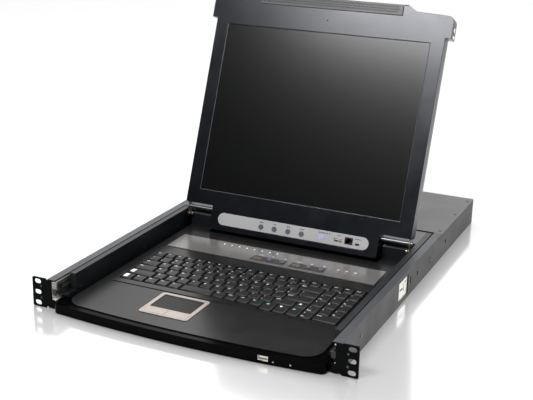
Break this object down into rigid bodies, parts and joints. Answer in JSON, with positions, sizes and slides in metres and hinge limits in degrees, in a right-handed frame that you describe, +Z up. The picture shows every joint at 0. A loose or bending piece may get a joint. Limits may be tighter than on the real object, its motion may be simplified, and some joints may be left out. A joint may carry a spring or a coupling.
{
  "type": "kvm console drawer",
  "caption": "Rack-mounted switch console: a drawer on telescopic slides with keyboard and touchpad, a folding flat display, and a rear chassis with computer ports.",
  "frame": {"origin": "on the supporting surface, at the middle of the bounding box's length and width", "axes": "+X to the operator's right, +Y from the fascia to the rear connectors, +Z up"},
  "size_m": [0.4826, 0.6686, 0.3901],
  "materials": {
    "chassis_paint": "matt powder coat",
    "cover_paint": "matt powder coat",
    "ear_paint": "matt powder coat",
    "drawer_paint": "matt powder coat",
    "zinc": "zinc plated",
    "steel": "plain",
    "brass": "satin",
    "hinge_steel": "satin",
    "deck_plastic": "fine texture",
    "fascia_plastic": "gloss",
    "frame_plastic": "satin",
    "key_plastic": "fine texture",
    "champagne": "satin",
    "pad_plastic": "fine texture",
    "panel_silver": "satin",
    "lens": "clear tinted",
    "button_plastic": "satin",
    "housing_plastic": "fine texture",
    "screen": "anti-glare",
    "strip_silver": "satin",
    "grille_grey": "satin",
    "black_plastic": "satin",
    "video_blue": "satin",
    "console_violet": "satin",
    "board": "solder mask"
  },
  "bodies": {
    "chassis": {"bottom_pan": "chassis_paint", "left_side_wall": "chassis_paint", "right_side_wall": "chassis_paint", "rear_top_cover": "cover_paint", "rear_panel": "chassis_paint", "rack_ears": "ear_paint", "slide_outer_members": "zinc", "switch_board": "board", "power_supply": "steel", "computer_ports": "video_blue", "console_ports": "console_violet", "power_inlet": "black_plastic", "chassis_screws": "steel"},
    "power_switch": {"power_rocker": "black_plastic"},
    "slide_middle": {"slide_middle_members": "zinc"},
    "drawer": {"drawer_side_walls": "drawer_paint", "drawer_base": "drawer_paint", "rear_deck": "cover_paint", "hinge_boxes": "drawer_paint", "hinge_pins": "brass", "slide_inner_members": "zinc", "palm_rest_deck": "deck_plastic", "front_fascia": "fascia_plastic", "keyboard_frame": "frame_plastic", "keyboard_board": "steel", "port_panel": "panel_silver", "status_lights": "lens", "touchpad_frame": "champagne", "touchpad_surface": "pad_plastic", "front_usb_port": "steel"},
    "left_catch": {"left_drawer_catch": "steel"},
    "right_catch": {"right_drawer_catch": "steel"},
    "function_keys": {"function_key_row": "key_plastic"},
    "number_keys": {"number_key_row": "key_plastic"},
    "upper_keys": {"upper_key_row": "key_plastic"},
    "home_keys": {"home_key_row": "key_plastic"},
    "lower_keys": {"lower_key_row": "key_plastic"},
    "bottom_keys": {"bottom_key_row": "key_plastic"},
    "pad_keys": {"number_pad_keys": "key_plastic"},
    "left_click": {"touchpad_left_button": "champagne"},
    "right_click": {"touchpad_right_button": "champagne"},
    "station_up": {"station_up_button": "button_plastic"},
    "station_down": {"station_down_button": "button_plastic"},
    "port_up": {"port_up_button": "button_plastic"},
    "port_down": {"port_down_button": "button_plastic"},
    "display": {"display_bezel": "housing_plastic", "display_back_cover": "housing_plastic", "lcd_panel": "screen", "display_board": "board", "control_strip": "strip_silver", "handle_grille": "grille_grey", "hinge_arms": "hinge_steel", "display_ports": "black_plastic", "display_catches": "zinc"},
    "service_slider": {"service_switch": "black_plastic"},
    "menu_exit": {"menu_exit_button": "button_plastic"},
    "menu_down": {"menu_down_button": "button_plastic"},
    "menu_up": {"menu_up_button": "button_plastic"},
    "menu_enter": {"menu_button": "button_plastic"},
    "display_power": {"display_power_button": "button_plastic"}
  },
  "joints": [
    {"name": "drawer_slide", "type": "slide", "parent": "chassis", "child": "drawer", "axis": [0, -1, 0], "range_m": [0, 0.4]},
    {"name": "middle_slide", "type": "slide", "parent": "chassis", "child": "slide_middle", "axis": [0, -1, 0], "range_m": [0, 0.2]},
    {"name": "display_tilt", "type": "hinge", "parent": "drawer", "child": "display", "pos_m": [0, 0.04945, 0.0348], "axis": [-1, 0, 0], "range_deg": [-110.5, 4.5]},
    {"name": "rocker_tilt", "type": "hinge", "parent": "chassis", "child": "power_switch", "pos_m": [-0.156, 0.32425, 0.021], "axis": [-1, 0, 0], "range_deg": [0, 14]},
    {"name": "function_keys_press", "type": "slide", "parent": "drawer", "child": "function_keys", "axis": [0, 0, -1], "range_m": [0, 0.0018], "stiffness_N_per_m": 900},
    {"name": "number_keys_press", "type": "slide", "parent": "drawer", "child": "number_keys", "axis": [0, 0, -1], "range_m": [0, 0.0018], "stiffness_N_per_m": 900},
    {"name": "upper_keys_press", "type": "slide", "parent": "drawer", "child": "upper_keys", "axis": [0, 0, -1], "range_m": [0, 0.0018], "stiffness_N_per_m": 900},
    {"name": "home_keys_press", "type": "slide", "parent": "drawer", "child": "home_keys", "axis": [0, 0, -1], "range_m": [0, 0.0018], "stiffness_N_per_m": 900},
    {"name": "lower_keys_press", "type": "slide", "parent": "drawer", "child": "lower_keys", "axis": [0, 0, -1], "range_m": [0, 0.0018], "stiffness_N_per_m": 900},
    {"name": "bottom_keys_press", "type": "slide", "parent": "drawer", "child": "bottom_keys", "axis": [0, 0, -1], "range_m": [0, 0.0018], "stiffness_N_per_m": 900},
    {"name": "pad_keys_press", "type": "slide", "parent": "drawer", "child": "pad_keys", "axis": [0, 0, -1], "range_m": [0, 0.0018], "stiffness_N_per_m": 900},
    {"name": "left_click_press", "type": "slide", "parent": "drawer", "child": "left_click", "axis": [0, 0, -1], "range_m": [0, 0.0006], "stiffness_N_per_m": 400},
    {"name": "right_click_press", "type": "slide", "parent": "drawer", "child": "right_click", "axis": [0, 0, -1], "range_m": [0, 0.0006], "stiffness_N_per_m": 400},
    {"name": "station_up_press", "type": "slide", "parent": "drawer", "child": "station_up", "axis": [0, 0, -1], "range_m": [0, 0.0006], "stiffness_N_per_m": 400},
    {"name": "station_down_press", "type": "slide", "parent": "drawer", "child": "station_down", "axis": [0, 0, -1], "range_m": [0, 0.0006], "stiffness_N_per_m": 400},
    {"name": "port_up_press", "type": "slide", "parent": "drawer", "child": "port_up", "axis": [0, 0, -1], "range_m": [0, 0.0006], "stiffness_N_per_m": 400},
    {"name": "port_down_press", "type": "slide", "parent": "drawer", "child": "port_down", "axis": [0, 0, -1], "range_m": [0, 0.0006], "stiffness_N_per_m": 400},
    {"name": "menu_exit_press", "type": "slide", "parent": "display", "child": "menu_exit", "axis": [0, 0.9361, -0.3518], "range_m": [0, 0.0006], "stiffness_N_per_m": 400},
    {"name": "menu_down_press", "type": "slide", "parent": "display", "child": "menu_down", "axis": [0, 0.9361, -0.3518], "range_m": [0, 0.0006], "stiffness_N_per_m": 400},
    {"name": "menu_up_press", "type": "slide", "parent": "display", "child": "menu_up", "axis": [0, 0.9361, -0.3518], "range_m": [0, 0.0006], "stiffness_N_per_m": 400},
    {"name": "menu_enter_press", "type": "slide", "parent": "display", "child": "menu_enter", "axis": [0, 0.9361, -0.3518], "range_m": [0, 0.0006], "stiffness_N_per_m": 400},
    {"name": "display_power_press", "type": "slide", "parent": "display", "child": "display_power", "axis": [0, 0.9361, -0.3518], "range_m": [0, 0.0006], "stiffness_N_per_m": 400},
    {"name": "service_slide", "type": "slide", "parent": "display", "child": "service_slider", "axis": [1, 0, 0], "range_m": [0, 0.0035]},
    {"name": "left_catch_lift", "type": "slide", "parent": "drawer", "child": "left_catch", "axis": [0, 0, 1], "range_m": [0, 0.003], "stiffness_N_per_m": 400},
    {"name": "right_catch_lift", "type": "slide", "parent": "drawer", "child": "right_catch", "axis": [0, 0, 1], "range_m": [0, 0.003], "stiffness_N_per_m": 400}
  ],
  "couplings": [
    {"joint": "middle_slide", "follows": "drawer_slide", "ratio": 0.5}
  ]
}
